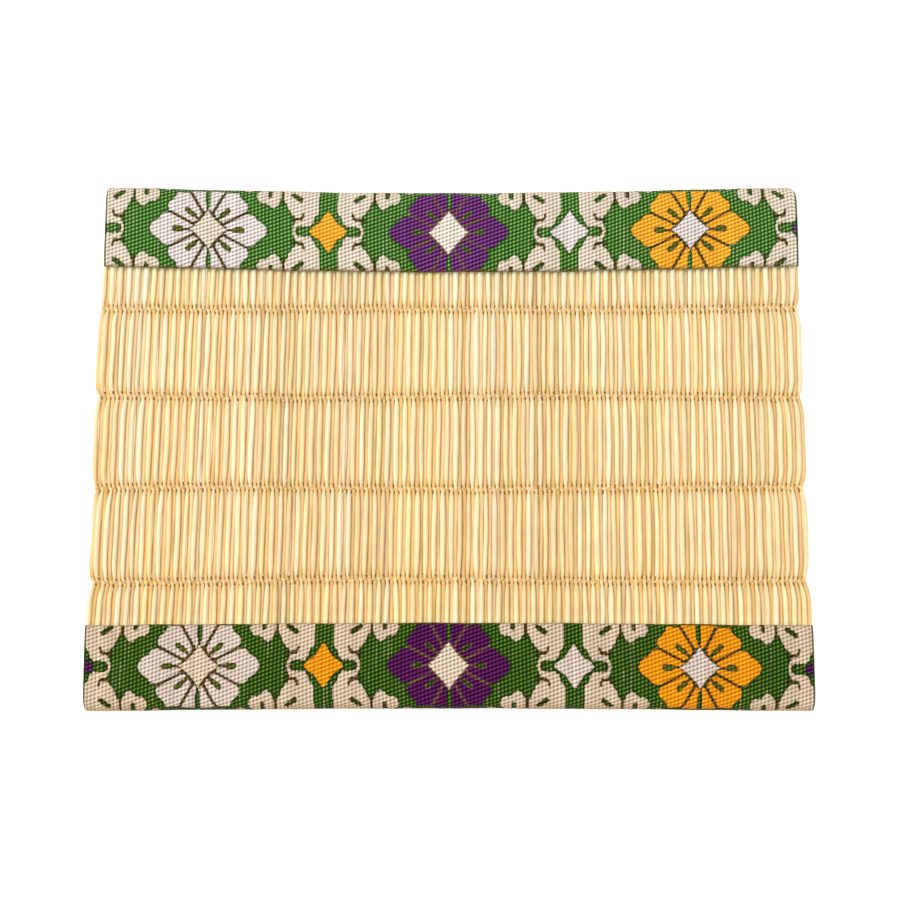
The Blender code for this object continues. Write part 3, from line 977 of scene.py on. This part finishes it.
def brocade_material():
    """Brocade: picks of the motif's colour, bound in a twill by darker threads of the warp, with
    painted shade in the twill's hollows and grooves and a painted highlight on each float's crest.
    """
    material, tree, shader = new_material("brocade")
    cloth = tree.nodes.new("ShaderNodeSeparateXYZ")
    tree.links.new(attribute(tree, "Cloth", "Vector"), cloth.inputs["Vector"])
    column, pick, dotty = (cloth.outputs[axis] for axis in "XYZ")
    full_turn = 2.0 * math.pi

    # The twill's diagonals, and the painted shade in the grooves between its columns
    lean = maths(tree, "MULTIPLY", maths(tree, "SUBTRACT", pick, column), full_turn / 3.0)
    twill = maths(tree, "MULTIPLY_ADD", maths(tree, "COSINE", lean), 0.5, 0.5)
    in_column = maths(tree, "COSINE", maths(tree, "MULTIPLY", column, full_turn))
    in_column = maths(tree, "MULTIPLY_ADD", in_column, -0.5, 0.5)
    # Painted shade in the grooves between columns
    groove = maths(tree, "POWER", in_column, 0.8)
    groove = maths(tree, "MULTIPLY", attribute(tree, "GrooveShade", "Fac"), groove)

    # Where the dark threads and the painted shade in the twill's hollows show: as dots in some
    # threads and as lines in others
    dots = maths(tree, "POWER", in_column, 1.2)
    spread = inverse(tree, maths(tree, "MULTIPLY", dotty, inverse(tree, dots)))
    sharpness = maths(tree, "MULTIPLY_ADD", dotty, 0.8, 1.1)
    bound = maths(tree, "MULTIPLY", maths(tree, "POWER", twill, sharpness), spread)
    shown = maths(tree, "MULTIPLY", inverse(tree, bound), inverse(tree, groove))
    plainness = maths(tree, "MULTIPLY_ADD", dotty, -0.7, 1.7)
    bound = inverse(tree, maths(tree, "POWER", shown, plainness))
    # Painted highlight on the crest of each float
    crest_highlight = maths(tree, "MULTIPLY", inverse(tree, twill), inverse(tree, in_column))

    fibres = noise(tree, (900.0, 6500.0, 6500.0), 2.0)
    worn_patches = noise(tree, (160.0, 160.0, 160.0), 2.0)
    mixed = tree.nodes.new("ShaderNodeMix")
    mixed.data_type = "RGBA"
    tree.links.new(bound, mixed.inputs["Factor"])
    tree.links.new(attribute(tree, "Light", "Color"), mixed.inputs["A"])
    tree.links.new(attribute(tree, "Dark", "Color"), mixed.inputs["B"])
    shade = maths(tree, "MULTIPLY_ADD", fibres, 0.4, 0.74)
    shade = maths(tree, "MULTIPLY", shade, maths(tree, "MULTIPLY_ADD", worn_patches, 0.2, 0.9))
    # The crest's painted highlight brightens the colour
    shade = maths(tree, "MULTIPLY", shade, maths(tree, "MULTIPLY_ADD", crest_highlight, 0.35, 0.95))
    tree.links.new(scaled(tree, mixed.outputs["Result"], shade), shader.inputs["Base Color"])

    threads = maths(tree, "ABSOLUTE", maths(tree, "SINE", maths(tree, "MULTIPLY", pick, math.pi)))
    height = maths(tree, "SUBTRACT", maths(tree, "MULTIPLY", threads, 0.5), bound)
    height = maths(tree, "ADD", height, maths(tree, "MULTIPLY", fibres, 0.3))
    bump(tree, shader, height, 0.5, 0.00006)
    shader.inputs["Roughness"].default_value = 0.55
    shader.inputs["Specular IOR Level"].default_value = 0.02
    return material


def floor_and_lights():
    """A pale plain floor, an even white world and one large soft lamp from the left."""
    mesh = bpy.data.meshes.new("floor")
    reach = 3.0
    mesh.from_pydata(
        [(-reach, -reach, 0.0), (reach, -reach, 0.0), (reach, reach, 0.0), (-reach, reach, 0.0)],
        [], [(0, 1, 2, 3)],
    )
    material, _, shader = new_material("floor")
    shader.inputs["Base Color"].default_value = (0.95, 0.95, 0.95, 1.0)
    shader.inputs["Roughness"].default_value = 0.9
    shader.inputs["Specular IOR Level"].default_value = 0.0
    shader.inputs["Emission Color"].default_value = (1.0, 1.0, 1.0, 1.0)
    shader.inputs["Emission Strength"].default_value = 0.5
    mesh.materials.append(material)
    floor = bpy.data.objects.new("floor", mesh)
    bpy.context.scene.collection.objects.link(floor)

    world = bpy.data.worlds.new("studio")
    world.use_nodes = True
    world.node_tree.nodes["Background"].inputs["Color"].default_value = (1.0, 1.0, 1.0, 1.0)
    world.node_tree.nodes["Background"].inputs["Strength"].default_value = 0.76
    bpy.context.scene.world = world

    lamp = bpy.data.lights.new("softbox", "AREA")
    lamp.shape = "SQUARE"
    lamp.size = 0.9
    lamp.energy = 15.0
    softbox = bpy.data.objects.new("softbox", lamp)
    softbox.location = (-0.756, 0.14, 1.4)
    softbox.rotation_euler = direction_to((0.0, 0.0, 0.0), softbox.location)
    bpy.context.scene.collection.objects.link(softbox)


def direction_to(target, place):
    """Rotation of a lamp or camera at place that faces target."""
    return (Vector(target) - Vector(place)).to_track_quat("-Z", "Y").to_euler()


def camera():
    """The photo's viewing angle: almost from above, and leaning a little towards the near end."""
    tilt = math.radians(12.5)
    distance = 0.4
    target = (0.00016, -0.00157, 0.0044)
    data = bpy.data.cameras.new("camera")
    data.lens = 98.88
    data.sensor_width = 36.0
    data.clip_start = 0.01
    made = bpy.data.objects.new("camera", data)
    made.location = (
        target[0], target[1] - distance * math.sin(tilt), target[2] + distance * math.cos(tilt)
    )
    made.rotation_euler = (tilt, 0.0, 0.0)
    bpy.context.scene.collection.objects.link(made)
    bpy.context.scene.camera = made


camera()
floor_and_lights()
bpy.context.scene.view_settings.view_transform = "Standard"

weave_lines = weave()
even, odd = rush_pieces(weave_lines, rush_material())
warps = warp_threads(weave_lines, warp_material())
for piece in (even, odd, warps):
    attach(piece, "root")
    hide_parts("rush_mat")

cloth_material = brocade_material()
for side, seam_sign in (("far", 1.0), ("near", -1.0)):
    strip = binding(side, seam_sign, cloth_material)
    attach(strip, "root")
    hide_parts("binding_" + side)
